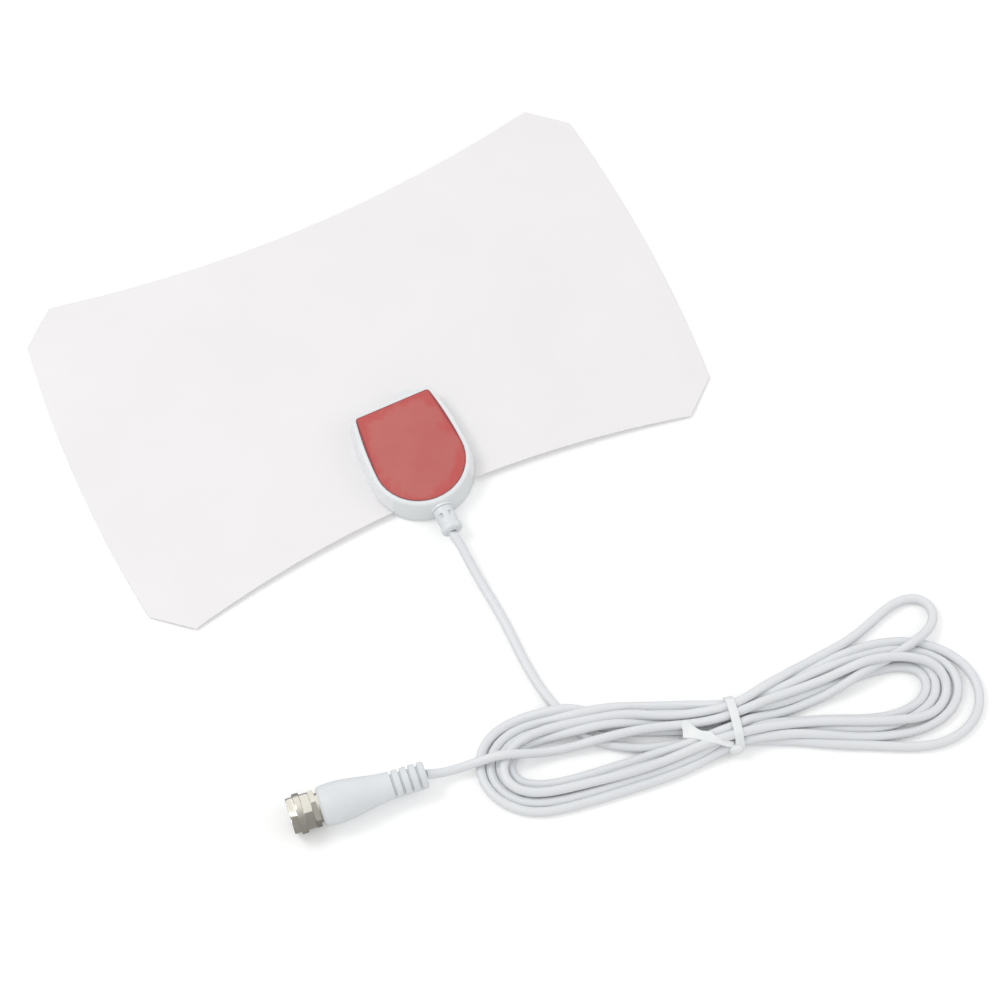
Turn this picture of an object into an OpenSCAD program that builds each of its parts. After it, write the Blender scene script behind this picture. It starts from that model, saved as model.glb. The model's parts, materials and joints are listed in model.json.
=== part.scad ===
/* [Film panel] */
// Length of the panel between its short sides, at the corners
panel_len = 200; // [170:1:240]
// Depth of the panel between its long sides, at the corners
panel_dep = 130; // [118:1:160]
// Length of a corner cut along the long side
corner_cut_x = 12; // [6:0.5:18]
// Length of a corner cut along the short side
corner_cut_y = 10.5; // [6:0.5:16]
// How far each long side dips in at its middle
long_dip = 10; // [5:0.5:14]
// How far each short side swells out at its middle
short_bulge = 3.3; // [1:0.1:6]
// Thickness of the laminated film
film_t = 0.5; // [0.35:0.05:0.7]

/* [Housing] */
// Radius of the adhesive pad's round end
pad_r = 15.1; // [14.6:0.1:18]
// Width of the adhesive pad at its flat end
pad_flat_w = 26; // [23.6:0.1:28.2]
// Length of the pad from its flat end to the centre of its round end
pad_straight = 22.4; // [21.8:0.1:26]
// Radius of the pad's two corners
pad_corner_r = 1.2; // [0.9:0.1:2.5]
// Width of the shell's wall and rim around the pad, at the split line
rim_w = 2.5; // [2.2:0.1:3.2]
// How far the shell's outer face leans in from the split line to its top
wall_draft = 1; // [0.6:0.1:1.1]
// Radius of the shell's rounded top edge
rim_round = 0.9; // [0.5:0.1:1.2]
// Thickness of the shell's side wall
wall_t = 1.8; // [1.5:0.1:2.1]
// Height of the back shell above the film
shell_h = 7.5; // [6.6:0.1:9]
// Thickness of the roof under the pad
roof_t = 1.2; // [0.8:0.1:1.4]
// Depth of the pocket that holds the pad
pocket_d = 0.8; // [0.5:0.1:1]
// Thickness of the front cover under the film
cover_t = 2; // [1.6:0.1:3]
// Radius of the front cover's rounded edge
cover_round = 0.8; // [0.4:0.1:1.2]
// How far the housing reaches past the film's near edge
overhang = 7.7; // [6.4:0.1:9]
// Width of the small lug on the flat end
lug_w = 5.6; // [4:0.1:8]
// How far the lug stands out of the flat end
lug_out = 1.1; // [0.6:0.1:1.6]
// Offset of the lug from the middle of the flat end
lug_x = 5.3; // [0:0.1:8]

/* [Adhesive] */
// Thickness of the foam pad
pad_t = 0.85; // [0.6:0.05:1.2]
// Thickness of the release liner
liner_t = 0.15; // [0.1:0.05:0.3]

/* [Inside] */
// Thickness of the circuit board
board_t = 1; // [0.8:0.1:1.2]
// Width of the circuit board
board_w = 17; // [16:0.1:18]
// Length of the circuit board's main part
board_len = 14; // [13:0.1:15]
// Width of the board's tongue under the cable
tongue_w = 10; // [8:0.1:11]
// Length of the tongue
tongue_len = 6.5; // [6:0.1:7]
// Distance from each contact rivet to the middle
rivet_x = 6.2; // [5.6:0.1:6.6]
// Radius of a contact rivet's shank
rivet_r = 0.95; // [0.8:0.05:1.1]
// Radius of a locating post
post_r = 1.5; // [1.2:0.05:1.7]
// Length of the ferrite core
core_len = 5; // [4:0.1:6]
// Width of the ferrite core
core_w = 4.4; // [4:0.1:5]
// Height of the ferrite core
core_h = 2.4; // [2.2:0.05:2.5]

/* [Cable] */
// Outer diameter of the coaxial cable
cable_d = 3; // [2.6:0.1:3.2]
// Length of the strain relief outside the housing
relief_len = 8.4; // [7.6:0.2:12]
// Radius of the strain relief's neck
relief_neck_r = 3.2; // [3:0.1:3.4]
// Radius of the bead at the strain relief's end
relief_bead_r = 3.55; // [3.5:0.05:4]

/* [Plug] */
// Hexagon of the coupling nut, across its flats
nut_af = 11; // [10.8:0.1:11.4]
// Diameter of the coupling nut's round collar
nut_collar_d = 12.9; // [12.8:0.1:13.2]
// Length of the coupling nut
nut_len = 7.1; // [6.6:0.1:9]
// Radius of the coupling nut's thread, at its crests
nut_bore_r = 4.35; // [4.3:0.01:4.45]
// Length of the moulded boot
boot_len = 34.4; // [32:0.1:40]
// Largest radius of the boot
boot_r = 6.65; // [6.5:0.05:7.5]
// Radius of the boot's ribbed neck
boot_neck_r = 4.35; // [4:0.05:4.8]
// Depth of the grooves between the ribs
groove_d = 1; // [0.6:0.1:1.4]

/* [Hank and tie] */
// Height of the tied hank
hank_h = 9; // [8:0.5:12]
// Half width of the hank where it is tied
waist_r = 8.3; // [7:0.1:10]
// Width of the tie
tie_w = 2.7; // [1.8:0.1:4]
// Thickness of the tie
tie_t = 0.6; // [0.4:0.1:1]

/* [Hidden] */
$fn = 96;
eps = 0.01;

// Levels
z_film = cover_t;
z_split = cover_t + film_t;
z_rim = z_split + shell_h;
z_pocket = z_rim - pocket_d;
z_ceiling = z_pocket - roof_t;
cable_z = (z_split + z_ceiling) / 2;
cable_r = cable_d / 2;

// Housing plan: the pad's outline, and everything else grown from it
film_near_y = -(panel_dep / 2 - long_dip);
round_y = film_near_y - overhang + rim_w + pad_r;
flat_y = round_y + pad_straight;
taper = pad_r - pad_flat_w / 2;
side_r = (pad_straight * pad_straight + taper * taper) / (2 * taper);
side_x = side_r - pad_r;
corner_y = flat_y - pad_corner_r;
corner_a = asin((corner_y - round_y) / (side_r - pad_corner_r));
corner_x = (side_r - pad_corner_r) * cos(corner_a) - side_x;
tip_y = round_y - pad_r - rim_w;
cavity_off = rim_w - wall_t;

// Film plan
film_x = panel_len / 2;
film_y = panel_dep / 2;
film_ax = film_x - corner_cut_x;
film_dy = film_y - corner_cut_y;
long_arc_r = (film_ax * film_ax + long_dip * long_dip) / (2 * long_dip);
short_arc_r = (film_dy * film_dy + short_bulge * short_bulge) / (2 * short_bulge);
film_end = film_x + short_bulge;
clamped_x = pad_r + rim_w + 1;
arch_steps = 14;

// Inside
fit_gap = 0.05;
pad_gap = 0.15;
post_sites = [[-10.4, flat_y - 5.4], [10.4, flat_y - 5.4], [-9.6, round_y - 6], [9.6, round_y - 6]];
board_y = flat_y - 7.4;
tongue_end_y = board_y - board_len - tongue_len;
rivet_y = board_y - 3.4;
rivet_head_r = 1.8;
rivet_head_t = 0.45;
rivet_flare_t = 0.4;
z_board = z_split + board_t;
core_y = board_y - 6.2;
core_hole_r = 0.55;
core_pitch = 2.1;
braid_r = 1.15;
core_r = 0.8;
wire_r = 0.3;
jacket_end_y = round_y - 6.6;
braid_end_y = jacket_end_y + 3.4;
dielectric_end_y = braid_end_y + 1.6;
wire_end_y = dielectric_end_y + 3;

// Plug: places along its axis from the nut's front
plug_front = [-86, -139, boot_r];
plug_yaw = -7;
thread_len = nut_len - 2;
neck_r = 3.3;
collar_s = nut_len + 0.1;
collar_len = 1.7;
boot_s = collar_s + collar_len + 0.8;
plug_len = boot_s + boot_len;
ferrule_r = 3.2;
ferrule_len = 12;
socket_r = 2.4;
cable_s = boot_s + 3;
pin_r = 0.4;
rib_count = 4;
rib_pitch = 2.75;
groove_w = 0.9;
boot_belly = 4;
boot_taper_end = 24.5;

// Hank plan, in the panel's frame
waist_at = [52, -170];
waist_yaw = -14;
knot = [4.4, 2, 3];
knot_x = -1;
left_lobe_at = [-8, -156];
left_lobe_r = 19;
right_lobe_at = [109, -185.5];
right_lobe_r = 18;
loose_loop_at = [119.5, -161.5];
loose_loop_r = 6.5;

// Route of the cable from the strain relief to the hank, and from the hank to the boot
relief_end = [0, tip_y - relief_len, cable_z];
boot_end = plug_front + plug_len * [cos(plug_yaw), sin(plug_yaw), 0];
lead_route = [relief_end, [0, -75.5, 4.7], [0.2, -83, 3], [1, -92, 1.6], [2.5, -104, 1.5],
    [2, -117, 1.5], [2.5, -127, 1.5], [4.5, -142, 1.5]];
plug_route = [boot_end, [-38, -145, 6.7], [-32, -145.5, 7], [-22.5, -147, 7.2]];
tube_sides = 8;
ring_gap = 6.5;

// Rounds the pad's outline by an offset: a round end, two bowed sides and a flat end
module pad_outline(off = 0) {
    r_c = pad_corner_r + off;
    reach = side_r + off;
    difference() {
        union() {
            translate([0, round_y]) circle(r = pad_r + off);
            intersection() {
                translate([-side_x, round_y]) circle(r = reach);
                translate([side_x, round_y]) circle(r = reach);
                translate([-reach, round_y]) square([2 * reach, pad_straight + off]);
            }
        }
        for (m = [0, 1]) mirror([m, 0]) translate([corner_x, corner_y]) difference() {
            polygon([[0, 0], 8 * [cos(corner_a), sin(corner_a)], [8, 8], [0, 8]]);
            circle(r = r_c);
        }
    }
}

// Points along an arc, from one angle to another, without the last one
function arc_points(at, r, a0, a1, n) = [for (i = [0:n - 1])
    let (a = a0 + (a1 - a0) * i / n)
    at + r * [cos(a), sin(a)]];

// Points round the pad's outline grown by an offset, from the start of its right side
function plan_points(off) = concat(
    arc_points([-side_x, round_y], side_r + off, 0, corner_a, 4),
    arc_points([corner_x, corner_y], pad_corner_r + off, corner_a, 90, 6),
    [[corner_x, flat_y + off]],
    arc_points([-corner_x, corner_y], pad_corner_r + off, 90, 180 - corner_a, 6),
    arc_points([side_x, round_y], side_r + off, 180 - corner_a, 180, 4),
    arc_points([0, round_y], pad_r + off, 180, 360, 30));

// Solid plan with a rounded edge, from a list of [offset, height], lowest first
module rounded_plan(levels) {
    rings = [for (v = levels) [for (p = plan_points(v[0])) [p[0], p[1], v[1]]]];
    n = len(rings[0]);
    top = (len(levels) - 1) * n;
    walls = [for (i = [0:len(levels) - 2], k = [0:n - 1])
        let (k2 = (k + 1) % n)
        [i * n + k, (i + 1) * n + k, (i + 1) * n + k2, i * n + k2]];
    polyhedron(points = [for (ring = rings) each ring],
        faces = concat(walls, [[for (k = [0:n - 1]) k], [for (k = [n - 1:-1:0]) top + k]]));
}

// How far the film has sagged at a distance from the middle: it is clamped flat in the housing
function sag(x) = x <= clamped_x ? 0 : cover_t * pow((x - clamped_x) / (film_end - clamped_x), 2);

// Plan of the film
module film_plan() {
    slope = corner_cut_y / corner_cut_x;
    end_y = film_dy - short_bulge * slope;
    difference() {
        intersection() {
            polygon([[-film_ax, film_y], [film_ax, film_y], [film_end, end_y], [film_end, -end_y],
                [film_ax, -film_y], [-film_ax, -film_y], [-film_end, -end_y], [-film_end, end_y]]);
            translate([film_end - short_arc_r, 0]) circle(r = short_arc_r);
            translate([short_arc_r - film_end, 0]) circle(r = short_arc_r);
        }
        for (m = [0, 1]) mirror([0, m]) translate([0, film_y - long_dip + long_arc_r]) circle(r = long_arc_r);
    }
}

module antenna_film() {
    xs = [for (i = [0:arch_steps]) clamped_x + (film_end + 1 - clamped_x) * i / arch_steps];
    half = [for (x = xs) [x, z_film - sag(x)]];
    under = concat([for (i = [arch_steps:-1:0]) [-half[i][0], half[i][1]]], half);
    over = [for (i = [len(under) - 1:-1:0]) under[i] + [0, film_t]];
    color("whitesmoke") difference() {
        intersection() {
            translate([0, 0, -cover_t]) linear_extrude(3 * cover_t + film_t) film_plan();
            translate([0, film_y + 1, 0]) rotate([90, 0, 0]) linear_extrude(panel_dep + 2)
                polygon(concat(under, over));
        }
        for (p = post_sites) translate([p[0], p[1], 0]) cylinder(r = post_r + 0.2, h = z_rim);
        for (s = [-1, 1]) translate([s * rivet_x, rivet_y, 0]) cylinder(r = rivet_r + fit_gap, h = z_rim);
    }
}

// Section of the cable port: a round top with an open slot down to the split line
module port_section(r) {
    union() {
        translate([0, cable_z]) circle(r = r);
        translate([-r, z_split - 1]) square([2 * r, cable_z - z_split + 1]);
    }
}

module back_shell() {
    boss_r = post_r + 1.2;
    relief_h = 0.4;
    relief_depth = 1.2;
    lug_in = wall_draft + 0.5;
    groove_r = cable_z - z_split;
    color("white") difference() {
        union() {
            difference() {
                union() {
                    rounded_plan(concat([[rim_w, z_split]], [for (a = [0:22.5:90])
                        [rim_w - wall_draft - rim_round * (1 - cos(a)), z_rim - rim_round * (1 - sin(a))]]));
                    translate([lug_x - lug_w / 2, flat_y + rim_w - lug_in, z_split])
                        linear_extrude(shell_h - rim_round - 0.6) union() {
                            square([lug_w, lug_in + lug_out - 0.7]);
                            translate([0.7, 0]) square([lug_w - 1.4, lug_in + lug_out]);
                            for (x = [0.7, lug_w - 0.7]) translate([x, lug_in + lug_out - 0.7]) circle(r = 0.7);
                        }
                    translate([0, tip_y + fit_gap, 0]) intersection() {
                        translate([0, wall_t, cable_z]) rotate([90, 0, 0])
                            cylinder(r = relief_neck_r + 0.4, h = wall_t);
                        translate([-2 * pad_r, -1, z_split]) cube([4 * pad_r, wall_t + 2, shell_h]);
                    }
                }
                translate([0, 0, z_split - 1]) linear_extrude(z_ceiling - z_split + 1) pad_outline(cavity_off);
            }
            for (p = post_sites) translate([p[0], p[1], z_split])
                cylinder(r = boss_r, h = z_ceiling - z_split + roof_t / 2);
        }
        translate([0, 0, z_pocket]) linear_extrude(pocket_d + 1) pad_outline(0);
        for (p = post_sites) translate([p[0], p[1], z_split - 1])
            cylinder(r = post_r + fit_gap, h = z_ceiling - z_split + 0.5);
        translate([0, tip_y + 2 * wall_t, 0]) rotate([90, 0, 0]) linear_extrude(4 * wall_t) port_section(groove_r);
        translate([0, 0, z_split - 1]) linear_extrude(1 + relief_h) difference() {
            intersection() {
                translate([-2 * pad_r, film_near_y - 0.6]) square([4 * pad_r, 7]);
                pad_outline(rim_w + 1);
            }
            pad_outline(rim_w - relief_depth);
        }
    }
}

module front_cover() {
    ledge_y = film_near_y - 0.5;
    color("white") difference() {
        union() {
            difference() {
                rounded_plan(concat([for (a = [90:-22.5:0])
                    [rim_w - cover_round * (1 - cos(a)), cover_round * (1 - sin(a))]], [[rim_w, z_split]]));
                translate([-2 * pad_r, ledge_y, cover_t]) cube([4 * pad_r, 4 * pad_r, film_t + 1]);
                translate([0, 0, cover_t]) linear_extrude(film_t + 1) pad_outline(cavity_off);
            }
            for (p = post_sites) translate([p[0], p[1], cover_t / 2])
                cylinder(r = post_r, h = z_ceiling - 0.6 - cover_t / 2);
        }
        for (s = [-1, 1]) translate([s * rivet_x, rivet_y, cover_t - rivet_head_t - fit_gap])
            cylinder(r = rivet_head_r + 0.3, h = cover_t);
    }
}

module adhesive_pad() {
    color("gainsboro") translate([0, 0, z_pocket]) linear_extrude(pad_t) pad_outline(-pad_gap);
}

module release_liner() {
    color("indianred") translate([0, 0, z_pocket + pad_t]) linear_extrude(liner_t) pad_outline(-pad_gap);
}

// Strain relief: a flange inside the wall, a waist through it, a neck with four windows and an end bead
module cable_grommet() {
    groove_r = cable_z - z_split;
    inner_y = tip_y + wall_t;
    bead_len = 2.2;
    window = [2.4, 3, 1.9];
    window_s = 3.1;
    rib_half = 0.95;
    color("white") translate([0, inner_y, cable_z]) rotate([90, 0, 0]) difference() {
        union() {
            translate([0, 0, -1.3]) intersection() {
                cylinder(r = groove_r + 0.35, h = 1);
                translate([-2 * groove_r, 0.2 - groove_r, -1]) cube([4 * groove_r, 2 * (groove_r - 0.2), 3]);
            }
            translate([0, 0, -0.8]) cylinder(r = groove_r - fit_gap, h = wall_t + 1.3);
            translate([0, 0, wall_t + fit_gap]) cylinder(r = relief_neck_r, h = relief_len - bead_len / 2);
            translate([0, 0, wall_t + relief_len - bead_len]) rotate_extrude() union() {
                square([relief_bead_r - 0.6, bead_len]);
                translate([0, 0.6]) square([relief_bead_r, bead_len - 1.2]);
                for (s = [0.6, bead_len - 0.6]) translate([relief_bead_r - 0.6, s]) circle(r = 0.6);
            }
        }
        translate([0, 0, -3]) cylinder(r = cable_r, h = relief_len + wall_t + 5);
        for (m = [-1, 1], n = [-1, 1])
            translate([m * (rib_half + window[0] / 2), n * (cable_r + 0.4 + window[1] / 2), wall_t + window_s])
                cube(window, center = true);
    }
}

module board_plan() {
    union() {
        translate([-board_w / 2, board_y - board_len]) square([board_w, board_len]);
        translate([-tongue_w / 2, board_y - board_len - tongue_len]) square([tongue_w, tongue_len + 1]);
    }
}

module circuit_board() {
    color("darkgreen") difference() {
        translate([0, 0, z_split]) linear_extrude(board_t) board_plan();
        for (s = [-1, 1]) translate([s * rivet_x, rivet_y, 0]) cylinder(r = rivet_r + fit_gap, h = z_rim);
    }
}

// Two hollow-flared rivets that clamp the film's feed points to the board
module contact_rivets() {
    head_z = cover_t - rivet_head_t;
    color("silver") for (s = [-1, 1]) translate([s * rivet_x, rivet_y, head_z]) difference() {
        union() {
            cylinder(r = rivet_head_r, h = rivet_head_t);
            cylinder(r = rivet_r, h = z_board - head_z + rivet_flare_t);
            translate([0, 0, z_board - head_z]) cylinder(r1 = rivet_r, r2 = rivet_r + 0.6, h = rivet_flare_t);
        }
        translate([0, 0, rivet_head_t]) cylinder(r = rivet_r / 2, h = z_rim);
    }
}

// Two-hole ferrite core of the matching transformer
module balun_core() {
    color("dimgray") translate([0, core_y, z_board]) difference() {
        translate([-core_len / 2, 0, 0]) rotate([90, 0, 90]) linear_extrude(core_len) union() {
            translate([-core_w / 2 + core_h / 2, 0]) square([core_w - core_h, core_h]);
            for (m = [-1, 1]) translate([m * (core_w - core_h) / 2, core_h / 2]) circle(d = core_h);
        }
        for (m = [-1, 1]) translate([-core_len, m * core_pitch / 2, core_h / 2]) rotate([0, 90, 0])
            cylinder(r = core_hole_r, h = 2 * core_len);
    }
}

// Bundle of turns that runs through both holes of the core
module balun_winding() {
    bundle_r = core_hole_r - fit_gap;
    run = core_len + 0.6;
    color("peru") translate([0, core_y, z_board + core_h / 2]) union() {
        for (m = [-1, 1]) translate([-run / 2, m * core_pitch / 2, 0]) rotate([0, 90, 0])
            cylinder(r = bundle_r, h = run);
        for (a = [0, 180]) rotate([0, 0, a]) translate([run / 2, 0, 0]) rotate([0, 0, -90])
            rotate_extrude(angle = 180) translate([core_pitch / 2, 0]) circle(r = bundle_r);
    }
}

module chip_capacitors() {
    chip = [1.25, 2, 0.7];
    color("tan") for (s = [-1, 1]) translate([s * 5.4 - chip[0] / 2, board_y - board_len + 1.2, z_board]) cube(chip);
}

// Cable jacket from inside the housing to the end of the strain relief
module cable_tail() {
    color("white") translate([0, jacket_end_y, cable_z]) rotate([90, 0, 0])
        cylinder(r = cable_r, h = jacket_end_y - relief_end[1]);
}

module cable_braid() {
    color("silver") translate([0, braid_end_y, cable_z]) rotate([90, 0, 0])
        cylinder(r = braid_r, h = braid_end_y - jacket_end_y);
}

// Insulated core and bare wire, past the braid
module cable_core() {
    color("ivory") translate([0, 0, cable_z]) rotate([90, 0, 0]) union() {
        translate([0, 0, -dielectric_end_y]) cylinder(r = core_r, h = dielectric_end_y - braid_end_y);
        translate([0, 0, -wire_end_y]) cylinder(r = wire_r, h = wire_end_y - dielectric_end_y + 0.2);
    }
}

// Solder on the bare wire and under the braid
module solder_joints() {
    color("silver") {
        difference() {
            translate([0, wire_end_y - 0.9, z_board]) cylinder(r1 = 1.3, r2 = 0.8, h = cable_z - z_board + 0.2);
            translate([0, 0, cable_z]) rotate([90, 0, 0]) translate([0, 0, -wire_end_y])
                cylinder(r = wire_r, h = 10);
        }
        difference() {
            translate([0, tongue_end_y + 1.25, z_board]) cylinder(r1 = 1.2, r2 = 1, h = cable_z - z_board);
            translate([0, braid_end_y + 1, cable_z]) rotate([90, 0, 0]) cylinder(r = braid_r, h = 8);
        }
    }
}

function unit(v) = v / norm(v);

// Point on a smooth curve through four points, between the second and the third
function curve_point(a, b, c, d, t) = b + t * (c - a) / 2 + t * t * (a - 2.5 * b + 2 * c - 0.5 * d)
    + t * t * t * (1.5 * b - 0.5 * a - 1.5 * c + 0.5 * d);

// Points of a smooth curve along a route, one about every ring_gap
function smooth_route(route) = let (n = len(route) - 1) concat(
    [for (i = [0:n - 1])
        let (
            a = i == 0 ? 2 * route[0] - route[1] : route[i - 1],
            d = i == n - 1 ? 2 * route[n] - route[n - 1] : route[i + 2],
            steps = max(1, round(norm(route[i + 1] - route[i]) / ring_gap))
        )
        for (k = [0:steps - 1]) curve_point(a, route[i], route[i + 1], d, k / steps)],
    [route[n]]);

// Tube along a route: one ring of corners at each point, its ends square to first and last
module tube(route, first, last) {
    pts = smooth_route(route);
    n = len(pts);
    heading = [for (i = [0:n - 1]) i == 0 ? first : i == n - 1 ? last : unit(pts[i + 1] - pts[i - 1])];
    rings = [for (i = [0:n - 1])
        let (
            side = unit(cross(heading[i], [0, 0, 1])),
            up = cross(side, heading[i])
        )
        for (k = [0:tube_sides - 1])
            let (a = 360 * (k + 0.5) / tube_sides)
            pts[i] + cable_r * (cos(a) * side + sin(a) * up)];
    walls = [for (i = [0:n - 2], k = [0:tube_sides - 1])
        let (k2 = (k + 1) % tube_sides)
        [i * tube_sides + k, i * tube_sides + k2, (i + 1) * tube_sides + k2, (i + 1) * tube_sides + k]];
    ends = [[for (k = [tube_sides - 1:-1:0]) k],
        [for (k = [0:tube_sides - 1]) (n - 1) * tube_sides + k]];
    polyhedron(points = rings, faces = concat(walls, ends));
}

module lead_cord() {
    color("gainsboro") tube(lead_route, [0, -1, 0], unit([1, -8, 0]));
}

module plug_cord() {
    color("gainsboro") tube(plug_route, [cos(plug_yaw), sin(plug_yaw), 0], unit([1, -0.15, 0]));
}

// Rounded box section of the hank where the tie goes round it
module waist_section(w, z0, z1) {
    r = (z1 - z0) / 2 - 0.3;
    union() {
        translate([-w + r, z0]) square([2 * (w - r), z1 - z0]);
        translate([-w, z0 + r]) square([2 * w, z1 - z0 - 2 * r]);
        for (x = [-w + r, w - r], z = [z0 + r, z1 - r]) translate([x, z]) circle(r = r);
    }
}

module at_waist() {
    translate(waist_at) rotate([0, 0, waist_yaw]) children();
}

// Outer shape of the folded cable: two lobes and one loose loop that meet at the tied waist
module cord_hank() {
    gap = 0.1;
    color("gainsboro") difference() {
        linear_extrude(hank_h) union() {
            hull() {
                translate(left_lobe_at) circle(r = left_lobe_r, $fn = 32);
                translate(waist_at) circle(r = waist_r, $fn = 32);
            }
            hull() {
                translate(right_lobe_at) circle(r = right_lobe_r, $fn = 32);
                translate(waist_at) circle(r = waist_r, $fn = 32);
            }
            hull() {
                translate(loose_loop_at) circle(r = loose_loop_r, $fn = 32);
                translate(waist_at) circle(r = waist_r - 1, $fn = 32);
            }
        }
        at_waist() translate([-tie_w / 2 - gap, 0, 0]) rotate([90, 0, 90]) linear_extrude(tie_w + 2 * gap)
            difference() {
                translate([-3 * waist_r, -1]) square([6 * waist_r, hank_h + 2]);
                waist_section(waist_r - tie_t - gap, tie_t + gap, hank_h - tie_t - gap);
            }
        at_waist() translate([knot_x - knot[0] / 2 - gap, -2 * waist_r, (hank_h - knot[2]) / 2 - gap])
            cube([knot[0] + 2 * gap, waist_r + 0.2 + gap, knot[2] + 2 * gap]);
    }
}

// Plastic strip round the waist, its knot at the near side and its split tail lying on the hank
module cord_tie() {
    mid_z = hank_h / 2;
    riser = 1.8;
    knot_y = 0.2 - waist_r - knot[1];
    color("white") at_waist() union() {
        translate([-tie_w / 2, 0, 0]) rotate([90, 0, 90]) linear_extrude(tie_w) difference() {
            waist_section(waist_r, 0, hank_h);
            waist_section(waist_r - tie_t, tie_t, hank_h - tie_t);
        }
        translate([knot_x - knot[0] / 2, knot_y, mid_z - knot[2] / 2]) cube(knot);
        translate([-3.3, knot_y, mid_z]) cube([riser, tie_t, mid_z + tie_t]);
        translate([0, -waist_r, hank_h]) linear_extrude(tie_t)
            polygon([[riser - 3.3, knot_y + waist_r], [-1.7, 0.2], [-4.6, 2.2], [-6.4, 3.4], [-7.9, 5.5],
                [-10.6, 6.2], [-12.9, 8.6], [-14.6, 10.7], [-15.8, 10.2], [-16.2, 7], [-16.7, 4.8], [-13, 3.9],
                [-9.7, 2.4], [-6.8, 1.2], [-3.9, -0.4], [-3.3, knot_y + waist_r]]);
    }
}

// Places a turned part on the plug's axis, its z counted from the nut's front
module on_plug() {
    translate(plug_front) rotate([0, 0, plug_yaw]) rotate([0, 90, 0]) children();
}

// Radius of the boot at a distance from its nut end
function boot_radius(s) = s < boot_belly
    ? boot_r - 0.45 * pow(1 - s / boot_belly, 2)
    : s < boot_taper_end
        ? boot_neck_r + (boot_r - boot_neck_r) * (1 + cos(180 * (s - boot_belly) / (boot_taper_end - boot_belly))) / 2
        : boot_neck_r;

module plug_boot() {
    body = [for (i = [0:18]) let (s = 0.7 + (boot_taper_end - 0.7) * i / 18) [boot_radius(s), s]];
    first_groove = boot_len - rib_count * rib_pitch + 0.3;
    spine_w = 4.3;
    spine_turn = -60;
    color("white") on_plug() translate([0, 0, boot_s]) difference() {
        rotate_extrude() polygon(concat([[0, 0], [boot_radius(0) - 0.6, 0]], body,
            [[boot_neck_r, boot_len - 0.5], [boot_neck_r - 0.5, boot_len], [0, boot_len]]));
        translate([0, 0, -1]) cylinder(r = ferrule_r, h = ferrule_len + 1);
        translate([0, 0, 1]) cylinder(r = cable_r, h = boot_len);
        for (i = [0:rib_count - 1]) translate([0, 0, first_groove + i * rib_pitch - groove_w / 2]) difference() {
            cylinder(r = boot_neck_r + 1, h = groove_w);
            translate([0, 0, -1]) cylinder(r = boot_neck_r - groove_d, h = groove_w + 2);
            rotate([0, 0, spine_turn]) translate([0, -spine_w / 2, -1]) cube([2 * boot_r, spine_w, groove_w + 2]);
        }
    }
}

module plug_cable_end() {
    color("gainsboro") on_plug() translate([0, 0, cable_s]) cylinder(r = cable_r, h = plug_len - cable_s);
}

// Post that keeps the nut, crimped collar and ferrule inside the boot
module connector_body() {
    flange_s = thread_len - fit_gap;
    flange_t = 0.6;
    collar_af = nut_af - 0.7;
    color("silver") on_plug() difference() {
        union() {
            translate([0, 0, flange_s - flange_t]) cylinder(r = nut_bore_r - 0.12, h = flange_t);
            translate([0, 0, flange_s - flange_t / 2]) cylinder(r = neck_r, h = collar_s - flange_s + flange_t);
            translate([0, 0, collar_s]) cylinder(d = collar_af / cos(30), h = collar_len, $fn = 6);
            translate([0, 0, collar_s + collar_len - 0.2]) cylinder(r = 4.7, h = boot_s - collar_s - collar_len + 0.2);
            translate([0, 0, boot_s - 0.2]) cylinder(r = ferrule_r, h = ferrule_len + 0.2);
        }
        translate([0, 0, -1]) cylinder(r = socket_r, h = cable_s + 1);
        cylinder(r = cable_r, h = plug_len);
    }
}

// Hexagon nut with a round collar, bored for the thread and lipped behind it
module coupling_nut() {
    hex_d = nut_af / cos(30);
    chamfer = 0.45;
    front_len = 2.1;
    collar_w = 2.3;
    color("silver") on_plug() difference() {
        union() {
            intersection() {
                cylinder(d = hex_d, h = nut_len, $fn = 6);
                rotate_extrude() polygon([[0, 0], [hex_d / 2 - chamfer, 0], [hex_d / 2 + 0.1, chamfer],
                    [hex_d / 2 + 0.1, nut_len - chamfer], [hex_d / 2 - chamfer, nut_len], [0, nut_len]]);
            }
            translate([0, 0, front_len]) rotate_extrude() polygon([[0, 0], [nut_collar_d / 2 - 0.3, 0],
                [nut_collar_d / 2, 0.3], [nut_collar_d / 2, collar_w - 0.3],
                [nut_collar_d / 2 - 0.3, collar_w], [0, collar_w]]);
        }
        translate([0, 0, -1]) cylinder(r = nut_bore_r, h = thread_len + 1);
        cylinder(r = neck_r + 0.08, h = nut_len + 1);
        translate([0, 0, -eps]) cylinder(r1 = nut_bore_r + 0.4, r2 = nut_bore_r, h = 0.4);
    }
}

module plug_insulator() {
    color("ivory") on_plug() translate([0, 0, thread_len - fit_gap - 0.6]) difference() {
        cylinder(r = socket_r, h = cable_s - thread_len + fit_gap + 0.6);
        translate([0, 0, -1]) cylinder(r = pin_r, h = plug_len);
    }
}

// Centre conductor that stands inside the nut
module center_pin() {
    color("goldenrod") on_plug() translate([0, 0, 0.9]) union() {
        cylinder(r1 = pin_r - 0.2, r2 = pin_r, h = 0.4);
        translate([0, 0, 0.4 - eps]) cylinder(r = pin_r, h = cable_s - 1.3 + eps);
    }
}

antenna_film();
back_shell();
front_cover();
adhesive_pad();
release_liner();
cable_grommet();
circuit_board();
contact_rivets();
balun_core();
balun_winding();
chip_capacitors();
cable_tail();
cable_braid();
cable_core();
solder_joints();
lead_cord();
cord_hank();
cord_tie();
plug_cord();
plug_boot();
plug_cable_end();
connector_body();
coupling_nut();
plug_insulator();
center_pin();
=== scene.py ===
"""Dress of a flat indoor television antenna: film panel, housing, tied cord and screw-on plug."""
from __future__ import annotations

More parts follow.
